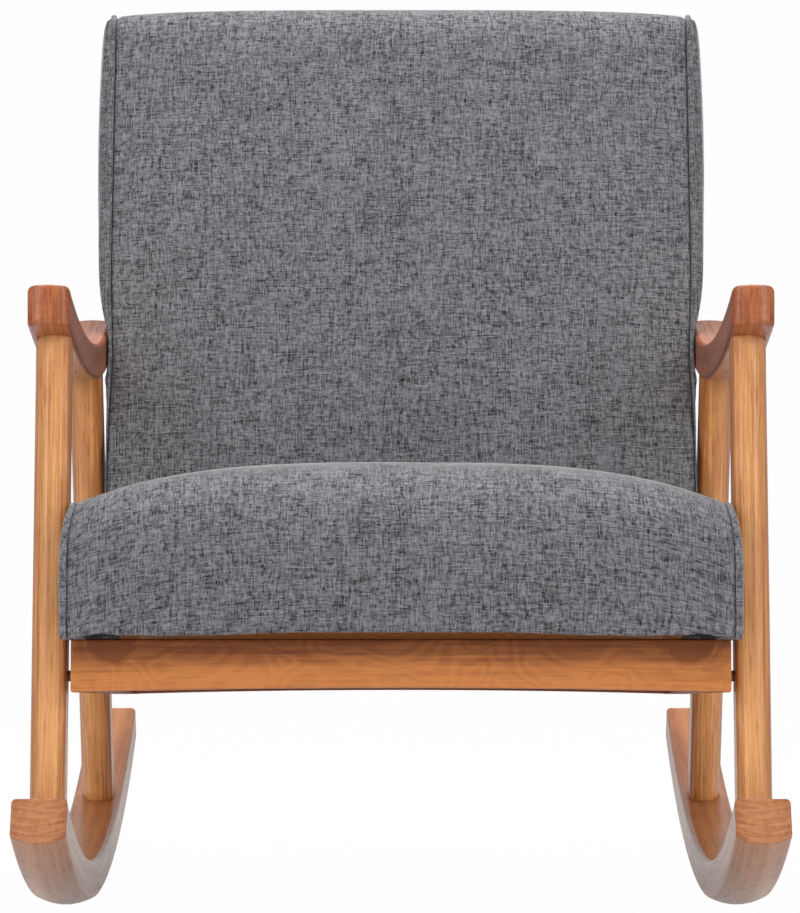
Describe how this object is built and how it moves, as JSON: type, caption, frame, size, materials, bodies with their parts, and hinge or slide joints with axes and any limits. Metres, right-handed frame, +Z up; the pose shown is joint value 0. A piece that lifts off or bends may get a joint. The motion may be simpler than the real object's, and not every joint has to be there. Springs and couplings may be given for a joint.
{
  "type": "rocking chair",
  "caption": "Upholstered rocking chair with two curved wooden rockers, swept armrests, splayed legs, a padded seat and a padded reclined back.",
  "frame": {"origin": "on the floor, in the middle of the chair's width and of the rockers' length", "axes": "+Z up; the chair faces -Y; +X is the sitter's left"},
  "size_m": [0.693, 0.899, 0.9036],
  "materials": {
    "leg_wood": "gloss",
    "rocker_wood": "gloss",
    "arm_wood": "gloss",
    "frame_wood": "matte",
    "plywood": "matte",
    "steel": "satin",
    "bronze": "satin",
    "cloth": "matte",
    "dark_lining": "matte",
    "foam": "matte"
  },
  "bodies": {
    "root": {"rocker_left": "rocker_wood", "rocker_right": "rocker_wood", "front_leg_left": "leg_wood", "front_leg_right": "leg_wood", "rear_leg_left": "leg_wood", "rear_leg_right": "leg_wood", "armrest_left": "arm_wood", "armrest_right": "arm_wood", "rocker_dowels": "frame_wood", "arm_dowels": "frame_wood", "front_rail": "arm_wood", "rear_rail": "frame_wood", "middle_cross_rail": "frame_wood", "side_rail_left": "frame_wood", "side_rail_right": "frame_wood", "rail_dowels": "frame_wood", "corner_blocks": "frame_wood", "corner_block_screws": "steel", "seat_board": "plywood", "seat_board_screws": "steel", "seat_foam": "foam", "seat_cover": "cloth", "seat_dust_cover": "dark_lining", "seat_bolts": "steel", "seat_bolt_washers": "steel", "seat_spacers": "bronze", "seat_inserts": "bronze", "back_stile_left": "frame_wood", "back_stile_right": "frame_wood", "back_top_rail": "frame_wood", "back_middle_rail": "frame_wood", "back_bottom_rail": "frame_wood", "back_dowels": "frame_wood", "back_webbing": "dark_lining", "back_foam": "foam", "back_cover": "cloth", "back_rear_pad": "foam", "back_rear_cover": "cloth", "back_bolts": "steel", "back_bolt_washers": "steel", "back_spacers": "bronze", "back_inserts": "bronze"}
  },
  "joints": []
}
